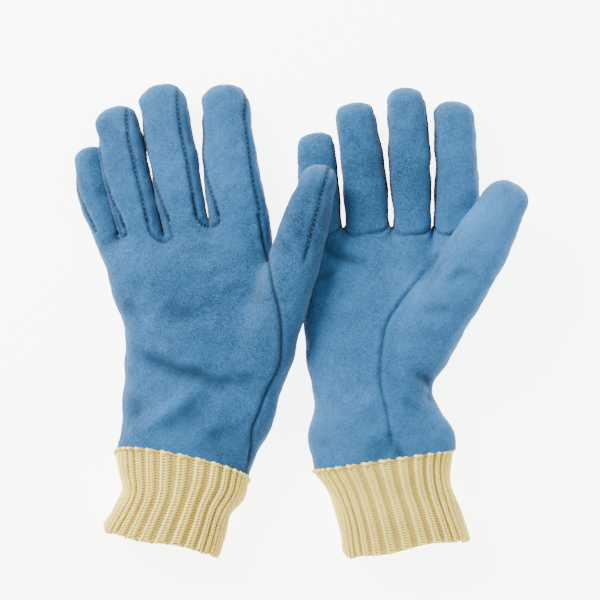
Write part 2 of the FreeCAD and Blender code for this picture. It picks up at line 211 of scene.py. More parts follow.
class Glove:
    """The field of one glove. Its outline gives the hand's lowest and highest X and its top at each Y,
    crotches where the hand ends between the fingers, and wrist the plane where the leather ends."""

    def __init__(self, side, back, outline, digits, crotches, wrist, thumb_seam, seam_end, creases, pairs,
                 tones, pinch):
        self.side, self.back, self.seam_end = side, back, seam_end
        self.tones, self.pinch = tones, pinch
        self.low = curve([(y, x) for y, x, _, _ in outline])
        self.high = curve([(y, x) for y, _, x, _ in outline])
        self.top = curve([(y, z) for y, _, _, z in outline])
        self.crotch = curve(crotches)
        self.digits, self.wrist, self.creases, self.pairs = digits, wrist, creases, pairs
        self.thumb_seam = curve(thumb_seam)

    def spans(self, p):
        """How far points lie from each digit's surface, by the digit's name."""
        return {name: digit.distance(p) for name, digit in self.digits.items()}

    def hand(self, p):
        x, y, z = p.T
        low, high, top = self.low(y), self.high(y), self.top(y)
        middle = top / 2 - 0.8
        rho, gradient = oval(x - (low + high) / 2, z - middle, (high - low) / 2, top / 2 + 0.8, 2.5)
        reach = 20.0
        end = np.clip((y - self.crotch(x)) / reach + 1, 0, None)
        whole = (rho ** 2.6 + end ** 2.6) ** (1 / 2.6)
        side = (rho / whole) ** 1.6 * gradient
        return (whole - 1) / np.maximum(np.hypot(side, (end / whole) ** 1.6 / reach), 1e-4)

    def cell(self, p, name, spans):
        """Negative on a digit's own side of the planes that part it from its neighbours."""
        nearest = np.full(len(p), -50.0)
        for a, b, tilt in self.pairs:
            if name in (a, b):
                sign = 1 if name == a else -1
                apart = sign * ((spans[a] - spans[b]) / 2 - tilt * (p[:, 2] - 13))
                nearest = np.maximum(nearest, apart)
        return nearest

    def field(self, p, only=None):
        """The glove's surface is where this is zero; with only, just the hand and that digit."""
        joined = self.hand(p)
        spans = self.spans(p)
        fingers = np.full(len(p), 60.0)
        for name in (only,) if only else self.digits:
            own = smooth_max(spans[name], self.cell(p, name, spans) + FINGER_GAP, CELL_BLEND)
            if name == "thumb":
                joined = smooth_min(joined, own, THUMB_BLEND)
            else:
                fingers = np.minimum(fingers, own)
        joined = smooth_min(joined, fingers, FINGER_BLEND)
        return smooth_max(joined, LOWEST - p[:, 2], FLOOR_BLEND)

    def gradient(self, p, only=None):
        step = 0.2
        sides = [self.field(p + step * e, only) - self.field(p - step * e, only) for e in np.eye(3)]
        return np.stack(sides, 1) / (2 * step)

    def beyond_root(self, p, name, spans):
        """Positive past the line where a digit's own panels start, which leaves the crotch beside it to the
        hand. Then what cell says."""
        digit = self.digits[name]
        cell = self.cell(p, name, spans)
        start = digit.cut + CROTCH * np.exp(-(cell / 2.5) ** 2)
        return digit.local(p)[0] - start, cell

    def claim(self, p, name):
        """Positive on the part of the glove that a digit's own panels make."""
        spans = self.spans(p)
        beyond, cell = self.beyond_root(p, name, spans)
        near = 2.0 if name == "thumb" else 5.0
        return np.minimum(np.minimum(beyond, -cell), near - spans[name])

    def gusset(self, p, name):
        """Positive on the little patches of the hand's leather in the crotches beside a finger."""
        spans = self.spans(p)
        _, cell = self.beyond_root(p, name, spans)
        digit = self.digits[name]
        return np.minimum(digit.local(p)[0] - digit.cut - 1, 2.6 - np.abs(cell))

    def beyond_wrist(self, p):
        """Positive on the fingers' side of the leather's wrist edge."""
        y, x, slope, tilt = self.wrist
        return p[:, 1] - y - slope * (p[:, 0] - x) - tilt * (p[:, 2] - 20)

    def above_middle(self, p):
        """Positive above the line round the hand's sides that parts its back panel from its palm."""
        return p[:, 2] - self.top(p[:, 1]) / 2

    def thumbward(self, p):
        """Positive on the thumb panel's side of the seam that parts it from the hand's panels."""
        shift = 22 if self.back > 0 else -34
        under = smoothstep(-self.above_middle(p), 0, 10)
        return p[:, 0] - self.thumb_seam(p[:, 1]) + shift * under

    def seams(self, p, name):
        """How far points lie beyond a digit's seam lines: the two edges of its back panel, the edge of
        its front panel, which is under it, and the end of its side strips. Then the front panel's edge
        alone, and the height above the digit's middle on its back's side."""
        digit = self.digits[name]
        t, c, z = digit.local(p)
        z = z * self.back
        wide = digit.wide(t)
        fade = 0.15 * smoothstep(t, digit.strip_end - 20, digit.strip_end)
        upper = smoothstep(z, -1, 1)
        lines = {}
        pinch = self.pinch * (1 - smoothstep(t, 5, 50))
        for side, sign, edge, panel in zip(("left", "right"), (-1, 1), digit.edges, digit.panels):
            edge = edge - pinch if side == "left" else edge
            share = FRONT_EDGE + (edge - FRONT_EDGE) * upper
            line = sign * c - (share + fade * upper) * wide
            lines[side] = line if panel else np.full(len(p), -FAR)
        tip, _ = digit.capped(t)
        plan = ((np.abs(c) / wide / FRONT_EDGE) ** 2.4 + (tip / TIP_EDGE) ** 2.4) ** (1 / 2.4)
        front = (plan - 1) * wide
        lines["front"] = np.maximum(front, z * 4)
        lines["end"] = t - digit.strip_end
        return lines, front, z

    def panel(self, p, name):
        """Which panel of a digit each point is in, as an index into PANELS."""
        lines, _, _ = self.seams(p, name)
        labels = np.full(len(p), PANELS.index("back"))
        short = lines["end"] < 0
        for side, panel in zip(("left", "right"), self.digits[name].panels):
            if panel:
                labels[short & (lines[side] > 0)] = PANELS.index(panel)
        labels[lines["front"] < 0] = PANELS.index("front")
        return labels

    def groove(self, p):
        """The distance to the nearest seam."""
        spans = self.spans(p)
        nearest = np.argmin([spans[name] for name in self.digits], 0)
        total = np.full(len(p), FAR)
        for k, name in enumerate(self.digits):
            digit = self.digits[name]
            own = nearest == k
            q = p[own]
            lines, front, z = self.seams(q, name)
            short = lines["end"] < 3
            near = np.full(len(q), FAR)
            for side, panel in zip(("left", "right"), digit.panels):
                if panel:
                    seamed = short & ((z > -0.5) | (panel != "front"))
                    near = np.where(seamed, np.minimum(near, np.abs(lines[side])), near)
            near = np.where((z < 0.5) & ~short, np.minimum(near, np.abs(front)), near)
            if not any(digit.panels):
                near = np.full(len(q), FAR)
            t = digit.local(q)[0]
            fading = 30 if name == "thumb" else 8
            tail = digit.cut - digit.seam_tail
            near = near + FAR * (1 - smoothstep(t, tail, tail + fading))
            if self.back < 0 and name != "thumb":
                beyond, _ = self.beyond_root(q, name, {n: v[own] for n, v in spans.items()})
                near = np.where(z < 0, np.minimum(near, np.abs(beyond)), near)
            total[own] = near
        thumb = np.abs(self.thumbward(p)) + FAR * smoothstep(p[:, 1], *self.seam_end)
        return np.minimum(total, thumb)

    def tone(self, p):
        """How pale the leather's colour is, above a half, or darker: a base for each glove and listed round
        patches.
        """
        total = np.full(len(p), 0.45 if self.back > 0 else 0.54)
        for x, y, radius, amount in self.tones:
            total += amount * np.exp(-((p[:, 0] - x) ** 2 + (p[:, 1] - y) ** 2) / radius ** 2)
        return total

    def relief(self, p, up):
        """How far the finished leather stands off the field, and how much painted shade darkens its seams
        and creases.
        """
        total = 0.42 * ripple(p, 26, 3) + 0.2 * ripple(p, 11, 5) + 0.07 * ripple(p, 4.5, 8)
        groove = self.groove(p)
        shape = np.exp(-(groove / SEAM_WIDTH) ** 2)
        # Painted shade in the seam grooves, weaker on the palm-up glove.
        painted_shade = shape * (1.0 if self.back > 0 else 0.4)
        total -= SEAM_DEPTH * shape
        total += SEAM_RIDGE * np.exp(-((groove - 3.6) / 1.8) ** 2)
        for points, depth, width in self.creases:
            low = np.min(points, 0) - 3 * width
            high = np.max(points, 0) + 3 * width
            close = ((p[:, :2] > low) & (p[:, :2] < high)).all(1) & (up > 0)
            away, share = near_line(p[close], points)
            strength = np.clip(np.sin(math.pi * np.clip(share, 0.08, 0.92)), 0, 1) ** 0.5
            shape = strength * np.exp(-(away / width) ** 2) * smoothstep(up[close], 0, 0.5)
            total[close] -= depth * shape
            # Painted shade in the hollow of each crease: the deeper the crease, the darker.
            painted_shade[close] = np.maximum(painted_shade[close], np.clip(depth / 4, 0, 1) * shape)
        return total * smoothstep(self.beyond_wrist(p), 3, 15), painted_shade


def scatter(points, step=2.0):
    """A smooth line through a few points in plan, as many close points."""
    points = np.array(points, float)
    lengths = np.concatenate(([0], np.cumsum(np.hypot(*np.diff(points, axis=0).T))))
    at = np.linspace(0, lengths[-1], int(lengths[-1] / step) + 2)
    xs = curve(list(zip(lengths, points[:, 0])))(at)
    ys = curve(list(zip(lengths, points[:, 1])))(at)
    return np.stack((xs, ys), 1), at / lengths[-1]


def near_line(p, points):
    """Distance in plan to a smooth line, and how far along it the nearest point lies, from 0 to 1."""
    line, share = scatter(points)
    best = np.full(len(p), 1e9)
    where = np.zeros(len(p))
    for (x, y), s in zip(line, share):
        apart = (p[:, 0] - x) ** 2 + (p[:, 1] - y) ** 2
        closer = apart < best
        best[closer] = apart[closer]
        where[closer] = s
    return np.sqrt(best), where


# Meshes: triangles from a field, parted where a function changes sign.

def surface(glove, low, high, voxel, level, only=None):
    """Triangles of the field's surface at a level, within a box."""
    counts = np.ceil((np.array(high) - np.array(low)) / voxel).astype(int) + 1
    axes = [low[k] + voxel * np.arange(counts[k]) for k in range(3)]
    p = np.stack(np.meshgrid(*axes, indexing="ij"), -1).reshape(-1, 3)
    blocks = np.array_split(p, max(1, len(p) // 400000))
    values = np.concatenate([glove.field(block, only) for block in blocks])
    grid = openvdb.FloatGrid(3 * voxel)
    clipped = np.clip(values.reshape(counts) - level, -3 * voxel, 3 * voxel).astype(np.float32)
    grid.copyFromArray(clipped, ijk=(0, 0, 0))
    points, quads = grid.convertToQuads(0.0)
    verts = points.astype(float) * voxel + np.array(low)
    tris = halved(quads).astype(int)
    for _ in range(2):
        slope = glove.gradient(verts, only)
        size = np.maximum((slope ** 2).sum(1), 0.05)
        move = ((glove.field(verts, only) - level) / size)[:, None] * slope
        verts = verts - np.clip(move, -0.6 * voxel, 0.6 * voxel)
    outward = (vertex_normals(verts, tris) * glove.gradient(verts, only)).sum()
    return verts, tris if outward > 0 else tris[:, ::-1]


def part(verts, tris, values, snap=0.12):
    """Divides triangles where values changes sign, so that no triangle crosses the line."""
    values = np.where(np.abs(values) < snap, 0, values)
    corner = values[tris]
    split = np.stack([corner[:, a] * corner[:, b] < 0 for a, b in ((0, 1), (1, 2), (2, 0))], 1)
    count = split.sum(1)
    kept = tris[count == 0]
    edges = np.concatenate([tris[split[:, k]][:, [k, (k + 1) % 3]] for k in range(3)])
    if not len(edges):
        return verts, tris
    unique, inverse = np.unique(np.sort(edges, 1), axis=0, return_inverse=True)
    inverse = inverse.reshape(-1)
    va, vb = values[unique[:, 0]], values[unique[:, 1]]
    share = (va / (va - vb))[:, None]
    fresh = verts[unique[:, 0]] * (1 - share) + verts[unique[:, 1]] * share
    made = np.full(tris.shape, -1)
    start = 0
    for k in range(3):
        rows = np.nonzero(split[:, k])[0]
        made[rows, k] = len(verts) + inverse[start:start + len(rows)]
        start += len(rows)
    pieces = [kept]
    for k in range(3):
        a, b, c = tris[:, k], tris[:, (k + 1) % 3], tris[:, (k + 2) % 3]
        ab, bc, ca = made[:, k], made[:, (k + 1) % 3], made[:, (k + 2) % 3]
        one = (count == 1) & (ab >= 0)
        pieces += [np.stack((a, ab, c), 1)[one], np.stack((ab, b, c), 1)[one]]
        two = (count == 2) & (bc < 0)
        pieces += [np.stack(t, 1)[two] for t in ((a, ab, ca), (ab, b, c), (ab, c, ca))]
    return np.concatenate((verts, fresh)), np.concatenate(pieces)


def compact(tris):
    """The used vertices, and the triangles in their terms."""
    used, flat = np.unique(tris, return_inverse=True)
    return used, flat.reshape(tris.shape)


def edges_of(tris):
    return np.concatenate([tris[:, [k, (k + 1) % 3]] for k in range(3)])


def halved(quads):
    """Two triangles from each quad."""
    return np.concatenate((quads[:, [0, 1, 2]], quads[:, [0, 2, 3]]))


def vertex_normals(verts, tris):
    a, b, c = (verts[tris[:, k]] for k in range(3))
    faces = np.cross(b - a, c - a)
    total = np.zeros_like(verts)
    for k in range(3):
        np.add.at(total, tris[:, k], faces)
    return total / np.maximum(np.linalg.norm(total, axis=1), 1e-9)[:, None]


def add(name, data):
    """An object with this mesh, light or camera, in the scene."""
    thing = bpy.data.objects.new(name, data)
    bpy.context.scene.collection.objects.link(thing)
    return thing


def make_mesh(name, verts, tris, quads=None, normals=None, shade=None):
    """A smooth-shaded piece from millimetre points, its triangles first."""
    quads = np.zeros((0, 4), int) if quads is None else quads
    mesh = bpy.data.meshes.new(name)
    mesh.vertices.add(len(verts))
    mesh.vertices.foreach_set("co", (verts * MM).astype(np.float32).ravel())
    corners = np.concatenate((tris.ravel(), quads.ravel())).astype(np.int32)
    mesh.loops.add(len(corners))
    mesh.loops.foreach_set("vertex_index", corners)
    starts = np.concatenate((np.arange(len(tris)) * 3, 3 * len(tris) + np.arange(len(quads)) * 4))
    mesh.polygons.add(len(starts))
    mesh.polygons.foreach_set("loop_start", starts.astype(np.int32))
    mesh.polygons.foreach_set("use_smooth", np.ones(len(starts), bool))
    mesh.update(calc_edges=True)
    mesh.validate()
    for key, values in (shade or {}).items():
        mesh.attributes.new(key, "FLOAT", "POINT").data.foreach_set("value", values.astype(np.float32))
    if normals is not None:
        mesh.normals_split_custom_set_from_vertices(normals.tolist())
    return add(name, mesh)


def sheet_mesh(name, verts, tris, normals, thickness, shade=None):
    """A closed mesh: the sheet, its inner face a thickness below, and a rim along its open edges."""
    used, tris = compact(tris)
    outer, up = verts[used], normals[used]
    n = len(outer)
    edges = edges_of(tris)
    keys = edges[:, 0] * n + edges[:, 1]
    lone = edges[~np.isin(keys, edges[:, 1] * n + edges[:, 0])]
    rim = np.stack((lone[:, 1], lone[:, 0], lone[:, 0] + n, lone[:, 1] + n), 1)
    points = np.concatenate((outer, outer - up * thickness))
    tone = {key: np.tile(values[used], 2) for key, values in (shade or {}).items()}
    return make_mesh(name, points, np.concatenate((tris, tris[:, ::-1] + n)), rim,
                     np.concatenate((up, -up)), tone)


def cut_flat(piece, length):
    """Works out the flat size that a leather panel or a lining was cut to, and keeps it nowhere. Half the
    surface of the closed piece, edges included, is the cut."""
    areas = np.zeros(len(piece.data.polygons))
    piece.data.polygons.foreach_get("area", areas)
    area = areas.sum() / 2
    length = min(length * MM, area * 2 / NARROWEST)


# The two gloves, in millimetres, seen from above with the fingers towards +Y.

def crotch_seam(left, right, bottom):
    """A crease round the bottom of a crotch that joins the back seams of the digits beside it."""
    points = [bottom]
    for height in (4, 10, 18):
        for k, (digit, side) in enumerate(((left, 1), (right, -1))):
            t = (bottom[1] + height - digit.root[1]) / digit.along[1]
            share = digit.edges[1] if side > 0 else digit.edges[0] - LEFT_PINCH
            x, y, _ = digit.point(t, side * share * float(digit.wide(np.array([t]))[0]))
            points.insert(0 if k == 0 else len(points), (x, y))
    return points, 2.6, SEAM_WIDTH


def left_glove():
    """Palm down, its thumb lying over the right glove's little finger."""
    end_finger = ("little_side", "front")
    digits = {
        "index": Digit((-49.6, 156), (-38.4, 60), (20, 18, 16.4), (14, 13.6, 12.5), 14, 17, bow=-2,
                       edges=(0.93, 0.76), panels=end_finger),
        "middle": Digit((-92.5, 156), (-73.8, 57), (15.5, 16.8, 16), (14, 13.6, 12.5), 14, 16, bow=-0.5,
                        edges=(0.93, 0.6)),
        "ring": Digit((-122.8, 141), (-102.8, 53), (15.2, 16, 15), (13.6, 13.2, 12.2), 13.8, 15, bow=-1,
                      edges=(0.93, 0.45)),
        "little": Digit((-139.6, 114.5), (-123.8, 50), (10.2, 13.2, 12.2), (11.6, 11.4, 11), 11.4, 13,
                        bow=-1.5, start=-12, heel=14, edges=(0.93, 0.75), panels=("front", "thumb_side")),
        "thumb": Digit((15.5, 100), (-10.5, 12), (17, 15.4, 12.6), (15.5, 14.4, 12.4), 39.5, 17, lift=15,
                       start=-56, heel=34, cut=39, edges=(1, 0.38), panels=(None, "front"), strip=-60,
                       seam_tail=36),
    }
    outline = [
        (-120, -121, -36, 36), (-99, -120.5, -31.5, 38), (-89, -120.5, -27.4, 38.5),
        (-70, -116.5, -17.5, 40), (-50, -115.8, -13, 41), (-20, -114.5, -5, 41), (0, -116.5, -6, 40),
        (20, -124.4, -11, 37),
        (40, -128.5, -15, 33), (56, -131.5, -19, 29), (70, -134, -22, 27),
    ]
    crotches = [(-140, 52), (-117, 54.5), (-89, 52.5), (-60, 62.4), (-30, 60), (-10, 40)]
    wrist = (-96.5, -75.5, -0.214, 0.5)
    thumb_seam = [
        (-120, -38), (-99, -34), (-83.5, -31), (-71.6, -30), (-61.7, -26.7), (-44.6, -19.5), (-28.7, -12.2),
        (-16.8, -10.9), (1.7, -11.6), (24, -16.8), (48.5, -22), (64, -25), (80, -28),
    ]
    creases = [
        ([(-88, 10), (-91, -2), (-78, -10), (-67, -19), (-60, -27)], -3.0, 6),
        ([(-112.5, -19), (-102.6, -23), (-89, -29), (-78, -33), (-64, -36), (-52.5, -41), (-40, -41),
          (-34, -41)], 3.3, 5),
        ([(-105, -74), (-93, -66), (-81.5, -58), (-72, -50.5), (-66, -46)], -2.6, 5.5),
        ([(-76, -66), (-60, -56)], 2.2, 8),
        ([(-60, -80), (-47, -73)], 2.0, 7),
        ([(-110, -64), (-100, -54)], 2.0, 7),
        ([(-115, 10), (-104, 4)], 2.0, 6),
        ([(-88, 14), (-76, 4), (-62, 2)], 1.8, 6),
        ([(-12, 52), (-7, 46), (-2, 41)], 1.6, 2.2),
        crotch_seam(digits["little"], digits["ring"], (-117, 54)),
        crotch_seam(digits["ring"], digits["middle"], (-89, 52)),
        crotch_seam(digits["middle"], digits["index"], (-60, 61.5)),
    ]
    pairs = [("index", "middle", 0), ("middle", "ring", 0.1), ("ring", "little", 0.4)]
    tones = [
        (-45, 110, 45, 0.16), (-90, 110, 45, 0.1), (-62, 15, 32, -0.14), (-100, -30, 26, 0.08),
        (-85, -62, 26, 0.16), (-20, -55, 24, 0.12), (0, 62, 26, -0.3), (-48, -80, 22, -0.08),
    ]
    return Glove("left", 1, outline, digits, crotches, wrist, thumb_seam, (68, 76), creases, pairs,
                 tones, LEFT_PINCH)


def right_glove():
    """Palm up, its thumb raised over the palm's edge."""
    digits = {
        "index": Digit((102, 145), (103.5, 55), (15.8, 14.4, 13.6), (14.4, 14.4, 13.4), 14.6, 14, bow=1.5,
                       panels=("little_side", "front"), seam_tail=0),
        "middle": Digit((70, 154), (75, 55), (13.4, 14.3, 13.2), (14.4, 14.4, 13.4), 14.6, 14, bow=1,
                        seam_tail=0),
        "ring": Digit((36, 143.5), (46.5, 56), (15.4, 15, 13.8), (14, 14, 13), 14.2, 14, bow=1,
                      seam_tail=0),
        "little": Digit((11.6, 124.4), (15.8, 56), (13.6, 13.4, 12.8), (11.4, 11.2, 10.8), 11.2, 12,
                        panels=("front", "thumb_side"), seam_tail=0),
        "thumb": Digit((140.3, 88), (98, 14), (19, 18.6, 15.2), (16, 16, 14), 40, 17, lift=17, start=-56,
                       heel=34, cut=34, panels=(None, None), seam_tail=4),
    }
    outline = [
        (-120, 12, 100, 36), (-99, 10.2, 101.5, 38), (-86, 7.6, 104, 38.5), (-70, 6.9, 101.3, 40),
        (-60, 9.5, 94, 40.5), (-50, 10.2, 88.5, 41), (-40, 8.3, 90, 41), (-30, 5.6, 96, 41),
        (-10, 4, 104, 40),
        (20, 3, 114, 37), (40, 2, 118.5, 33), (56, 1.5, 119.5, 29), (70, 2, 118, 27),
    ]
    crotches = [(0, 56), (30, 59), (63, 56.4), (87, 54), (120, 54)]
    wrist = (-92.8, 56, 0.145, 0.1)
    thumb_seam = [
        (-105, 62.5), (-92.7, 61.7), (-78.2, 60.4), (-70.3, 59.1), (-57.8, 57.1), (-43.9, 53.8),
        (-29.4, 53.1), (-16.8, 54.5), (-1.7, 57.8), (10.9, 65.7), (22.1, 74.3), (30.7, 80.9), (45, 92),
    ]
    creases = [
        ([(12, 50), (20, 44), (30, 40.6), (42, 38)], 2.4, 3.2),
        ([(24, 47), (36, 44)], -1.6, 4),
        ([(17, 52), (21, 47)], 1.4, 6),
        ([(14, 32), (17, 26)], 1.6, 7),
        ([(84, 44), (86, 33), (80, 27)], 2.0, 5),
        ([(46, -86), (54, -84), (60, -78)], 2.4, 6),
        ([(40, -62), (48, -52), (53, -44)], -1.4, 6),
        ([(71, -58), (75, -52)], 2.0, 8),
        ([(96, 24), (106, 30), (112, 28)], 1.5, 3.5),
        ([(78, 4), (90, 6), (100, 2)], 1.2, 4),
        ([(60, -76), (64, -85), (69, -91)], 3.0, 3.4),
        ([(78, -36), (84, -40), (91, -48)], 3.4, 3),
        ([(84, -49), (88, -51), (94, -50)], 2.4, 3.2),
        ([(112, -2), (104, 6), (96, 8)], 0.9, 5),
    ]
    pairs = [("index", "middle", 0), ("middle", "ring", 0), ("ring", "little", 0)]
    tones = [
        (40, 95, 32, -0.2), (76, 95, 30, -0.18), (104, 110, 24, 0.1), (128, 60, 30, 0.42), (98, 8, 34, 0.2),
        (40, 20, 32, 0.04), (28, -65, 30, 0.22), (88, -70, 24, 0.12),
    ]
    return Glove("right", -1, outline, digits, crotches, wrist, thumb_seam, (42, 50), creases, pairs,
                 tones, 0)


# Materials. Colours are given as sRGB bytes.

def srgb(red, green, blue):
    return tuple(((v / 255 + 0.055) / 1.055) ** 2.4 for v in (red, green, blue)) + (1,)


class Nodes:
    """Builds a material's node tree."""

    def __init__(self, name, roughness, sheen, specular):
        self.material = bpy.data.materials.new(name)
        self.material.use_nodes = True
        self.tree = self.material.node_tree
        self.shader = self.tree.nodes["Principled BSDF"]
        self.shader.inputs["Roughness"].default_value = roughness
        self.shader.inputs["Sheen Weight"].default_value = sheen
        self.shader.inputs["Sheen Roughness"].default_value = 0.5
        self.shader.inputs["Specular IOR Level"].default_value = specular
        self.place = self.tree.nodes.new("ShaderNodeTexCoord").outputs["Object"]

    def feed(self, socket, value):
        if isinstance(value, bpy.types.NodeSocket):
            self.tree.links.new(value, socket)
        else:
            socket.default_value = value

    def noise(self, scale, detail=3.0, rough=0.55, distortion=0.0):
        node = self.tree.nodes.new("ShaderNodeTexNoise")
        self.feed(node.inputs["Vector"], self.place)
        settings = {"Scale": scale, "Detail": detail, "Roughness": rough, "Distortion": distortion}
        for key, value in settings.items():
            node.inputs[key].default_value = value
        return node.outputs["Fac"]

    def maths(self, operation, a, b, clamp=False):
        node = self.tree.nodes.new("ShaderNodeMath")
        node.operation, node.use_clamp = operation, clamp
        self.feed(node.inputs[0], a)
        self.feed(node.inputs[1], b)
        return node.outputs[0]

    def weighted(self, *terms):
        """The sum of weight times (value - 0.5), about 0.5 and clamped."""
        total = 0.5
        for value, weight in terms:
            centred = self.maths("SUBTRACT", value, 0.5)
            total = self.maths("ADD", self.maths("MULTIPLY", centred, weight), total)
        return self.maths("MAXIMUM", total, 0.0, clamp=True)

    def mix(self, share, a, b, kind="MIX"):
        node = self.tree.nodes.new("ShaderNodeMix")
        node.data_type, node.blend_type = "RGBA", kind
        self.feed(node.inputs[0], share)
        self.feed(node.inputs[6], a)
        self.feed(node.inputs[7], b)
        return node.outputs[2]

    def attribute(self, name):
        node = self.tree.nodes.new("ShaderNodeAttribute")
        node.attribute_name = name
        return node.outputs["Fac"]

    def bump(self, height, strength, distance, before=None):
        node = self.tree.nodes.new("ShaderNodeBump")
        node.inputs["Strength"].default_value = strength
        node.inputs["Distance"].default_value = distance
        self.feed(node.inputs["Height"], height)
        if before:
            self.feed(node.inputs["Normal"], before)
        return node.outputs["Normal"]

    def finish(self, colour, normal):
        self.feed(self.shader.inputs["Base Color"], colour)
        self.feed(self.shader.inputs["Normal"], normal)
        return self.material


def suede(name, middle):
    """Split leather with a fine speckled nap, paler and darker in patches, with painted shade in its seams
    and creases.
    """
    n = Nodes(name, 0.95, 0.08, 0.1)
    light = srgb(*(min(255, v * 1.38 + 8) for v in middle))
    deep = srgb(*(v * 0.66 for v in middle))
    patches = n.noise(26, 4, 0.6, 0.8)
    streaks = n.noise(110, 3, 0.6, 1.0)
    grain = n.noise(950, 2, 0.8)
    fibres = n.noise(2100, 2, 0.7)
    tone = n.weighted((n.attribute("tone"), 1.0), (patches, 0.55), (streaks, 0.45),
                      (grain, 1.5), (fibres, 0.9))
    colour = n.mix(tone, deep, light)
    # Painted shade: the seams and creases are darkened towards this colour.
    groove_shade_colour = srgb(*(v * 0.4 for v in middle))
    shaded = n.mix(n.maths("MULTIPLY", n.attribute("painted_shade"), 0.8), colour, groove_shade_colour)
    nap = n.bump(fibres, 0.4, 0.0005)
    return n.finish(shaded, n.bump(grain, 0.6, 0.0008, nap))


def yarn(name, middle):
    """Spun yarn with fine fibres and a little unevenness, with painted shade where it lies deep in the
    knit.
    """
    n = Nodes(name, 0.9, 0.15, 0.1)
    tone = n.weighted((n.noise(60, 3), 0.8), (n.noise(900, 3, 0.7), 1.2))
    colour = n.mix(tone, srgb(*(v * 0.88 for v in middle)), srgb(*(min(255, v * 1.05) for v in middle)))
    red, green, blue = middle
    # The colour of painted shade deep in the knit, darker and warmer.
    sunk_shade_colour = srgb(red * 0.78, green * 0.75, blue * 0.5)
    shaded = n.mix(n.maths("MULTIPLY", n.attribute("painted_shade"), 0.85), colour, sunk_shade_colour)
    return n.finish(shaded, n.bump(n.noise(2600, 4, 0.7), 0.5, 0.0003))


def fleece(name, middle, scale):
    """Brushed lining or batting, softly tufted."""
    n = Nodes(name, 0.95, 0.4, 0.1)
    tone = n.weighted((n.noise(scale, 4, 0.65), 1.4), (n.noise(scale * 6, 3, 0.7), 0.8))
    colour = n.mix(tone, srgb(*(v * 0.85 for v in middle)), srgb(*middle))
    return n.finish(colour, n.bump(n.noise(scale * 2.5, 5, 0.7), 0.7, 0.0012))


MATERIALS = {
    "suede": suede("blue_suede", (33, 72, 106)),
    "strip": suede("strip_suede", (30, 66, 98)),
    "thread": yarn("stitching_thread", (92, 134, 166)),
    "cream": yarn("cuff_yarn", (255, 226, 120)),
    "batting": fleece("insulation_batting", (232, 228, 214), 160),
    "lining": fleece("lining_fleece", (238, 232, 214), 300),
}


# Leather, insulation and lining.

def dress(piece, material, nodes=()):
    piece.data.materials.append(MATERIALS[material])
    if nodes:
        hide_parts(*nodes)


def bend(piece, glove, name):
    """Bakes a digit piece's placement into its mesh; where it would bend, at its root and along the digit,
    is worked out but not used.
    """
    digit = glove.digits[name]
    start = digit.point(digit.cut + CROTCH + 0.5) * MM
    end = digit.point(digit.cut + CROTCH + BEND) * MM
    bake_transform(piece)


def finished(glove, verts, tris, only=None):
    """The points of a meshed surface moved by the glove's relief, their normals, and their painted shade
    and tone.
    """
    slope = glove.gradient(verts, only)
    up = slope / np.maximum(np.linalg.norm(slope, axis=1), 1e-6)[:, None]
    height, painted_shade = glove.relief(verts, up[:, 2])
    moved = verts + up * height[:, None]
    moved[:, 2] = np.maximum(moved[:, 2], FLOOR_GAP)
    return moved, vertex_normals(moved, tris), {"painted_shade": painted_shade, "tone": glove.tone(verts)}


def stitches(name, points, edges, normals):
    """Short threads lying along a seam, each a bead of yarn that dips at its ends."""
    middles = (points[edges[:, 0]] + points[edges[:, 1]]) / 2
    ups = normals[edges[:, 0]]
    kept = []
    for k in np.lexsort(middles.round(1).T):
        if all(np.abs(middles[k] - middles[j]).max() > STITCH_SPACING for j in kept[-60:]):
            if not kept or np.linalg.norm(middles[kept] - middles[k], axis=1).min() > STITCH_SPACING:
                kept.append(k)
    along = np.linspace(-1, 1, 6)
    around = np.linspace(0, 2 * math.pi, 7)[:-1]
    verts, quads = [], []
    for k in kept:
        near = middles[np.linalg.norm(middles - middles[k], axis=1) < 3.5]
        way = np.linalg.svd(near - near.mean(0))[2][0] if len(near) > 2 else np.array((0.0, 1.0, 0.0))
        up = ups[k] / np.linalg.norm(ups[k])
        side = np.cross(up, way)
        side /= max(np.linalg.norm(side), 1e-6)
        base = len(verts) * len(around) * len(along)
        ring = []
        for a in along:
            radius = STITCH_RADIUS * math.sqrt(max(1 - a * a, 0.04))
            centre = middles[k] + way * a * STITCH_LONG / 2 + up * (0.35 - 0.5 * a * a)
            circle = np.cos(around)[:, None] * up + np.sin(around)[:, None] * side
            ring.append(centre + radius * circle)
        verts.append(np.concatenate(ring))
        n = len(around)
        for i in range(len(along) - 1):
            for j in range(n):
                quads.append([base + i * n + j, base + i * n + (j + 1) % n,
                              base + (i + 1) * n + (j + 1) % n, base + (i + 1) * n + j])
        last = base + (len(along) - 1) * n
        quads += [[base + j for j in (3, 2, 1, 0)], [base + j for j in (5, 4, 3, 0)]]
        quads += [[last + j for j in (0, 1, 2, 3)], [last + j for j in (0, 3, 4, 5)]]
    piece = make_mesh(name, np.concatenate(verts), np.zeros((0, 3), int), np.array(quads))
    dress(piece, "thread")
    return piece


def seam_edges(tris, labels):
    """The edges between triangles that have different labels."""
    edges = edges_of(tris)
    owner = np.tile(labels, 3)
    order = np.lexsort(np.sort(edges, 1).T)
    edges, owner = np.sort(edges, 1)[order], owner[order]
    same = (edges[1:] == edges[:-1]).all(1) & (owner[1:] != owner[:-1])
    return edges[1:][same]


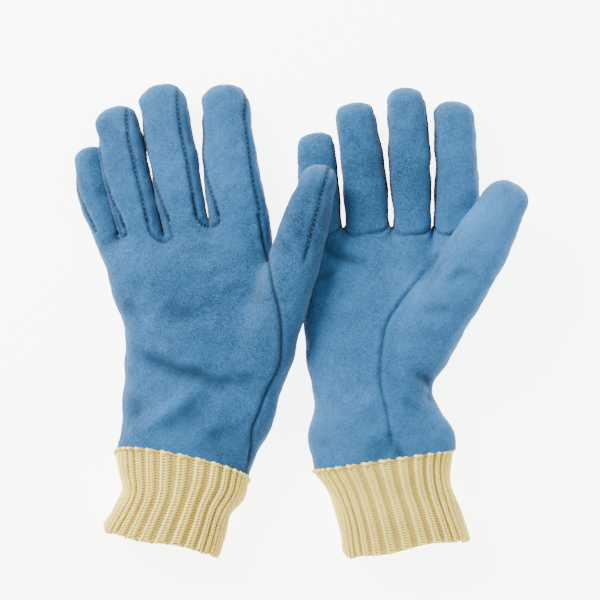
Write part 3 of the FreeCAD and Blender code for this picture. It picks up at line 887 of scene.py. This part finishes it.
def digit_leather(glove, name):
    """A digit's leather panels and the stitches along their seams."""
    digit = glove.digits[name]
    ends = np.array([digit.point(t, c) for t in (digit.cut - 8, digit.long + 3) for c in (-23, 23)])
    reach = digit.deep(np.array([0.0]))[0] + 5
    low = np.append(ends[:, :2].min(0), max(digit.height - reach, -2))
    high = np.append(ends[:, :2].max(0), digit.height + reach)
    verts, tris = surface(glove, low, high, VOXEL, 0.0, name)
    verts, tris = part(verts, tris, glove.claim(verts, name))
    for line in ("left", "right", "end", "front"):
        verts, tris = part(verts, tris, glove.seams(verts, name)[0][line])
    moved, normals, painted_shade = finished(glove, verts, tris, name)
    centres = verts[tris].mean(1)
    own = glove.claim(centres, name) > 0
    labels = np.where(own, glove.panel(centres, name), -1)
    for k, panel in enumerate(PANELS):
        chosen = tris[labels == k]
        if not len(chosen):
            continue
        node = f"{glove.side}_{name}_{panel}"
        piece = sheet_mesh(f"{node}_leather", moved, chosen, normals, LEATHER, painted_shade)
        dress(piece, "strip" if panel.endswith("side") else "suede", [node])
        cut_flat(piece, digit.long - digit.cut)
        bend(piece, glove, name)
    if not any(digit.panels):
        return low, high
    edges = seam_edges(tris[own], labels[own])
    thread = stitches(f"{glove.side}_{name}_stitches", moved, edges, normals)
    bend(thread, glove, name)
    return low, high


def digit_liner(glove, name, low, high):
    """A digit's insulating sleeve."""
    verts, tris = surface(glove, low, high, SOFT_VOXEL, -SLEEVE_DEPTH, name)
    verts, tris = part(verts, tris, glove.claim(verts, name))
    chosen = tris[glove.claim(verts[tris].mean(1), name) > 0]
    node = f"{glove.side}_{name}_liner"
    moved, normals, _ = finished(glove, verts, tris, name)
    piece = sheet_mesh(f"{node}_batting", moved, chosen, normals, BATTING)
    dress(piece, "batting", [node])
    bend(piece, glove, name)


def hand_surface(glove, voxel, level):
    """The hand's part of the glove's surface at a level, cut off at the digits and the wrist."""
    low, high = HAND_BOX[glove.side]
    verts, tris = surface(glove, low, high, voxel, level)
    for name in DIGITS:
        verts, tris = part(verts, tris, glove.claim(verts, name))
    verts, tris = part(verts, tris, glove.beyond_wrist(verts))
    verts, tris = part(verts, tris, glove.thumbward(verts))
    return verts, tris


def kept_hand(glove, verts, tris):
    """Which triangles are the hand's own."""
    centres = verts[tris].mean(1)
    own = glove.beyond_wrist(centres) > 0
    for name in DIGITS:
        own &= glove.claim(centres, name) <= 0
    return own, centres


def hand_leather(glove):
    """The hand's back, palm and thumb panels, and the little gussets between its fingers."""
    side, body = glove.side, f"{glove.side}_hand"
    verts, tris = hand_surface(glove, VOXEL, 0.0)
    verts, tris = part(verts, tris, glove.above_middle(verts))
    for name in FINGERS:
        verts, tris = part(verts, tris, glove.gusset(verts, name))
    moved, normals, painted_shade = finished(glove, verts, tris)
    own, centres = kept_hand(glove, verts, tris)
    labels = np.where((glove.above_middle(centres) > 0) == (glove.back > 0), 0, 1)
    labels[glove.thumbward(centres) > 0] = 2
    for name in FINGERS:
        labels[glove.gusset(centres, name) > 0] = 3
    labels[~own] = -1
    panels = (("hand_back", 150), ("hand_palm", 150), ("thumb_root", 140), ("finger_gussets", 30))
    for k, (panel, length) in enumerate(panels):
        chosen = tris[labels == k]
        piece = sheet_mesh(f"{side}_{panel}_leather", moved, chosen, normals, LEATHER, painted_shade)
        dress(piece, "strip" if panel == "finger_gussets" else "suede", [f"{side}_{panel}"])
        cut_flat(piece, length)
        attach(piece, body)


def hand_padding(glove):
    """The hand's insulation in two parts, and the lining inside it."""
    side, body = glove.side, f"{glove.side}_hand"
    verts, tris = hand_surface(glove, SOFT_VOXEL, -SLEEVE_DEPTH)
    own, centres = kept_hand(glove, verts, tris)
    thumbward = glove.thumbward(centres) > 0
    moved, normals, _ = finished(glove, verts, tris)
    parts = (("hand_insulation", own & ~thumbward), ("thumb_root_insulation", own & thumbward))
    for part_name, chosen in parts:
        piece = sheet_mesh(f"{side}_{part_name}_batting", moved, tris[chosen], normals, BATTING)
        dress(piece, "batting", [f"{side}_{part_name}"])
        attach(piece, body)
    verts, tris = hand_surface(glove, SOFT_VOXEL, -SLEEVE_DEPTH - BATTING - LINING_GAP)
    own, _ = kept_hand(glove, verts, tris)
    moved, normals, _ = finished(glove, verts, tris)
    piece = sheet_mesh(f"{side}_hand_lining_fleece", moved, tris[own], normals, LINING)
    dress(piece, "lining", [f"{side}_hand_lining"])
    cut_flat(piece, 170)
    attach(piece, body)


# Cuffs: courses of real yarn loops, in ribs of one raised wale and one sunk, round a thin knit tube.

class Cuff:
    """A knitted cuff's shape, from the leather at v = 0 to its mouth at v = 1. Each section is X, Y,
    width, thickness and turn in degrees."""

    def __init__(self, glove, sections):
        self.glove = glove
        at = np.linspace(0, 1, len(sections))
        self.x, self.y, self.wide, self.tall, self.turn = (
            curve(list(zip(at, column))) for column in zip(*sections))
        self.long = math.dist(sections[0][:2], sections[-1][:2])
        angles = np.linspace(0, 2 * math.pi, 1441)
        ring = self.oval_at(angles, sections[1][2] / 2, sections[1][3] / 2)
        run = np.concatenate(([0], np.cumsum(np.hypot(*np.diff(ring, axis=0).T))))
        self.angle = lambda share: np.interp(share % 1, run / run[-1], angles)

    def oval_at(self, angle, a, b):
        cos, sin = np.cos(angle), np.sin(angle)
        radius = ((np.abs(cos) / a) ** 2.3 + (np.abs(sin) / b) ** 2.3) ** (-1 / 2.3)
        return np.stack((radius * cos, radius * sin), -1)

    def place(self, share, s, off, thick=0.0):
        """The point a share of the way round and s along the knit from the leather, which turns in at
        the mouth and runs back up inside, and off outward from it, with the way outward. A yarn's centre
        keeps thick above the floor."""
        lip = s - self.long
        theta = np.clip(lip / LIP, 0, math.pi)
        inside = np.clip(lip - math.pi * LIP, 0, None)
        v = (np.minimum(s, self.long) + LIP * np.sin(theta) - inside) / self.long
        inset = LIP * (1 - np.cos(theta))
        angle = self.angle(share)
        clipped = np.clip(v, 0, 1)
        a, b = self.wide(clipped) / 2, self.tall(clipped) / 2
        ring = self.oval_at(angle, 1, 1) * np.stack((a, b), -1)
        out = np.stack((np.sign(ring[..., 0]) * np.abs(ring[..., 0] / a) ** 1.3 / a,
                        np.sign(ring[..., 1]) * np.abs(ring[..., 1] / b) ** 1.3 / b), -1)
        out /= np.linalg.norm(out, axis=-1)[..., None]
        turn = np.radians(self.turn(clipped))
        across = np.stack((np.cos(turn), np.sin(turn), 0 * turn), -1)
        along = np.stack((np.sin(turn), -np.cos(turn), 0 * turn), -1)
        outward = across * out[..., :1] + np.array((0, 0, 1.0)) * out[..., 1:]
        outward = outward * np.cos(theta)[..., None] + along * np.sin(theta)[..., None]
        ribs = RIB_DEPTH * np.cos(2 * math.pi * RIBS * share) * np.cos(theta)
        flat = ring - out * inset[..., None]
        height = b + flat[..., 1] + 0.6
        tilt = self.glove.wrist[3]
        waves = 1.3 * np.sin(2 * math.pi * 3 * share + 1) + 0.8 * np.sin(2 * math.pi * 8 * share)
        shift = (v - clipped) * self.long + waves * clipped ** 2 - tilt * (height - 20) * (1 - clipped)
        point = across * flat[..., :1] + along * shift[..., None]
        point = point + np.stack((self.x(clipped), self.y(clipped), height), -1)
        swell = ribs + 0.7 * np.sin(2 * math.pi * 5 * share + 9 * v) * np.sin(math.pi * clipped)
        point = point + outward * (off + swell)[..., None]
        point[..., 2] = np.maximum(point[..., 2], FLOOR_GAP + thick)
        return point, outward


def tube(line, outward, radius, sides):
    """The points and faces of a closed loop of yarn along a line."""
    tangent = np.roll(line, -1, 0) - np.roll(line, 1, 0)
    tangent /= np.linalg.norm(tangent, axis=1)[:, None]
    beside = np.cross(tangent, outward)
    beside /= np.linalg.norm(beside, axis=1)[:, None]
    facing = np.cross(beside, tangent)
    n = len(line)
    radius = np.broadcast_to(radius, n)[:, None]
    turns = np.arange(sides) * 2 * math.pi / sides
    rings = [line + radius * (math.cos(q) * facing + math.sin(q) * beside) for q in turns]
    points = np.stack(rings, 1).reshape(-1, 3)
    i, j = np.meshgrid(np.arange(n), np.arange(sides), indexing="ij")
    after, next_side = (i + 1) % n, (j + 1) % sides
    here, there = i * sides, after * sides
    quads = np.stack((here + j, here + next_side, there + next_side, there + j), -1)
    return points, quads.reshape(-1, 4)


def joined_tubes(name, tubes, painted_shade):
    """One piece from several tubes, with the painted shade of each of their points."""
    points, quads, count = [], [], 0
    for tube_points, tube_quads in tubes:
        points.append(tube_points)
        quads.append(tube_quads + count)
        count += len(tube_points)
    return make_mesh(name, np.concatenate(points), np.zeros((0, 3), int), np.concatenate(quads),
                     shade={"painted_shade": painted_shade})


def knit_cuff(glove, sections):
    """The cuff's yarn, the thin tube of knit behind it, and the overlocked roll at the leather."""
    side, body = glove.side, f"{glove.side}_hand"
    cuff = Cuff(glove, sections)
    stitch = np.arange(WALES * SEGMENTS) / SEGMENTS
    phase = 2 * math.pi * stitch
    face = np.cos(math.pi * stitch)
    bent = stitch + LOOP_BEND * np.sin(2 * phase)
    share = (bent + RIB_SPREAD * np.sin(math.pi * bent)) / WALES
    off = -LOOP_DEPTH * np.cos(2 * phase) * face
    # Painted shade: the yarn is darker where it lies deep, in the sunk wales and at the backs of its loops,
    # and on its inner side.
    shade = np.repeat(smoothstep(-RIB_DEPTH * face - off, -1.0, 1.6), len(YARN_SIDES))
    shade += np.tile(YARN_SIDES, len(stitch))
    courses = []
    whole = cuff.long + math.pi * LIP + INSIDE
    count = round(whole / COURSE)
    for k in range(count):
        s = (k + 0.5) * COURSE - LOOP_HEIGHT * COURSE * np.cos(phase)
        line, outward = cuff.place(share, s, off, YARN)
        courses.append(tube(line, outward, YARN, len(YARN_SIDES)))
    for name, chosen in (("knit", courses[:count // 2]), ("hem", courses[count // 2:])):
        knit = joined_tubes(f"{side}_cuff_{name}", chosen, np.tile(shade, len(chosen)))
        dress(knit, "cream", [f"{side}_knit_cuff"])
        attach(knit, body)

    around, rows = 4 * RIBS, 36
    share, s = np.meshgrid(np.arange(around) / around, np.linspace(-4, whole, rows), indexing="xy")
    points, normals = cuff.place(share, s, np.full(share.shape, -BACKING_DEPTH), 0.3)
    i, j = np.meshgrid(np.arange(rows - 1), np.arange(around), indexing="ij")
    a, b = i * around + j, i * around + (j + 1) % around
    quads = np.stack((a, a + around, b + around, b), -1).reshape(-1, 4)
    tris = halved(quads)
    points, normals = points.reshape(-1, 3), normals.reshape(-1, 3)
    if (vertex_normals(points, tris) * normals).sum() < 0:
        tris = tris[:, ::-1]
    # The backing is painted all over in the knit's shade colour, as painted shade behind the yarn.
    painted_shade = {"painted_shade": np.ones(len(points))}
    backing = sheet_mesh(f"{side}_cuff_backing", points, tris, normals, BACKING, painted_shade)
    dress(backing, "cream")
    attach(backing, body)

    turns = np.arange(WALES * 12) / (WALES * 12)
    wraps = 2 * math.pi * WALES * turns
    edge = np.full(turns.shape, -0.4) + 0.25 * np.cos(wraps)
    line, outward = cuff.place(turns, edge, 0.3 + 0 * turns, 1.3)
    # Painted shade between the roll's wraps, darkest where it is thinnest.
    painted_shade = np.repeat(0.3 - 0.3 * np.sin(wraps), 8)
    roll = joined_tubes(f"{side}_cuff_roll", [tube(line, outward, 1.1 + 0.16 * np.sin(wraps), 8)], painted_shade)
    dress(roll, "cream", [f"{side}_cuff_seam"])
    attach(roll, body)


CUFF_SECTIONS = {
    "left": [(-76.8, -97, 87, 37, -12), (-77.5, -108.5, 82, 36, -12), (-80, -120, 71, 35, -12.5),
             (-85, -132.5, 73, 33, -13), (-90.5, -145, 77, 31, -13)],
    "right": [(56, -93.5, 90, 37, 8.5), (60.5, -110, 77.5, 35.5, 9), (66, -128, 77.5, 34, 9),
              (71.3, -148.5, 82, 31, 8)],
}

for glove in (left_glove(), right_glove()):
    hand_leather(glove)
    hand_padding(glove)
    for digit_name in DIGITS:
        digit_liner(glove, digit_name, *digit_leather(glove, digit_name))
    knit_cuff(glove, CUFF_SECTIONS[glove.side])


# The floor, the camera straight above, and soft studio lights.

def make_floor():
    mesh = bpy.data.meshes.new("studio_floor")
    mesh.from_pydata([(x, y, 0) for x, y in ((-3, -3), (3, -3), (3, 3), (-3, 3))], [], [(0, 1, 2, 3)])
    floor = add("studio_floor", mesh)
    n = Nodes("studio_paper", 0.9, 0, 0.1)
    paper = n.mix(n.noise(3, 2), (0.93, 0.93, 0.93, 1), (0.96, 0.96, 0.96, 1))
    n.shader.inputs["Emission Color"].default_value = (1, 1, 1, 1)
    n.shader.inputs["Emission Strength"].default_value = 6
    floor.data.materials.append(n.finish(paper, n.bump(n.noise(900), 0.05, 0.0002)))


def make_light(name, place, size, power):
    """A square soft light aimed at the gloves."""
    data = bpy.data.lights.new(name, "AREA")
    data.size, data.energy = size, power
    light = add(name, data)
    light.location = place
    aim = Vector((0, 0, 0.02)) - light.location
    light.rotation_euler = aim.to_track_quat("-Z", "Y").to_euler()


def make_camera():
    data = bpy.data.cameras.new("camera")
    data.lens, data.sensor_width = 85, 36
    camera = add("camera", data)
    camera.location = (0.001, 0.0129, 0.02 + FRAME_WIDTH * data.lens / data.sensor_width)
    bpy.context.scene.camera = camera


def make_world():
    world = bpy.data.worlds.new("studio")
    world.use_nodes = True
    background = world.node_tree.nodes["Background"].inputs
    background["Color"].default_value = (1, 1, 1, 1)
    background["Strength"].default_value = 1.15
    bpy.context.scene.world = world


make_floor()
make_camera()
make_world()
make_light("key_light", (-0.9, 0.9, 0.9), 0.8, 70)
make_light("fill_light", (0.9, -0.2, 1.2), 1.2, 8)
